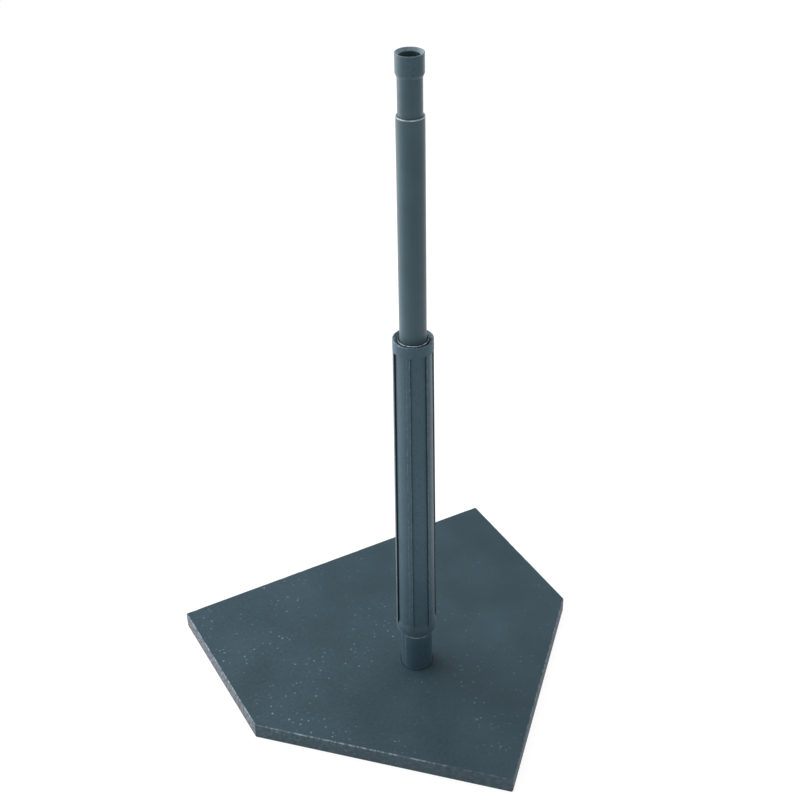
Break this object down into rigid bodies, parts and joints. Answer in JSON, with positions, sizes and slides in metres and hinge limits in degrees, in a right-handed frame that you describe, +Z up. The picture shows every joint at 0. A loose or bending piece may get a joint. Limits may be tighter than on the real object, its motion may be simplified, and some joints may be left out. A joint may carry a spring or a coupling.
{
  "type": "batting tee",
  "caption": "Batting tee: flat home-plate-shaped base with a telescoping post, a ribbed lower sleeve, sliding tubes and a ball cup on top.",
  "frame": {"origin": "on the post's axis at the underside of the base, which is the centre of the base's outline", "axes": "+Z up along the post, -Y towards the base's pointed end, +X across the base"},
  "size_m": [0.4318, 0.4318, 0.781],
  "materials": {
    "plate_rubber": "moulded, matt, lightly scuffed",
    "socket_plastic": "moulded, satin",
    "sleeve_rubber": "moulded, satin",
    "tube_plastic": "extruded, satin",
    "cup_rubber": "moulded, satin",
    "plug_plastic": "moulded, matt",
    "grip_rubber": "moulded, matt",
    "screw_steel": "zinc plated"
  },
  "bodies": {
    "base": {"base_plate": "plate_rubber", "base_socket": "socket_plastic", "socket_screws": "screw_steel"},
    "sleeve": {"ribbed_sleeve": "sleeve_rubber", "sleeve_liner": "tube_plastic"},
    "middle": {"middle_tube": "tube_plastic", "middle_end_plug": "plug_plastic", "middle_grip_ring_lower": "grip_rubber", "middle_grip_ring_upper": "grip_rubber"},
    "upper": {"upper_tube": "tube_plastic", "upper_end_plug": "plug_plastic", "upper_grip_ring_lower": "grip_rubber", "upper_grip_ring_upper": "grip_rubber", "ball_cup": "cup_rubber"}
  },
  "joints": [
    {"name": "post_lift", "type": "slide", "parent": "base", "child": "sleeve", "axis": [0, 0, 1], "range_m": [0, 0.05]},
    {"name": "middle_slide", "type": "slide", "parent": "sleeve", "child": "middle", "axis": [0, 0, 1], "range_m": [-0.22, 0.1]},
    {"name": "upper_slide", "type": "slide", "parent": "middle", "child": "upper", "axis": [0, 0, 1], "range_m": [-0.036, 0.15]}
  ]
}
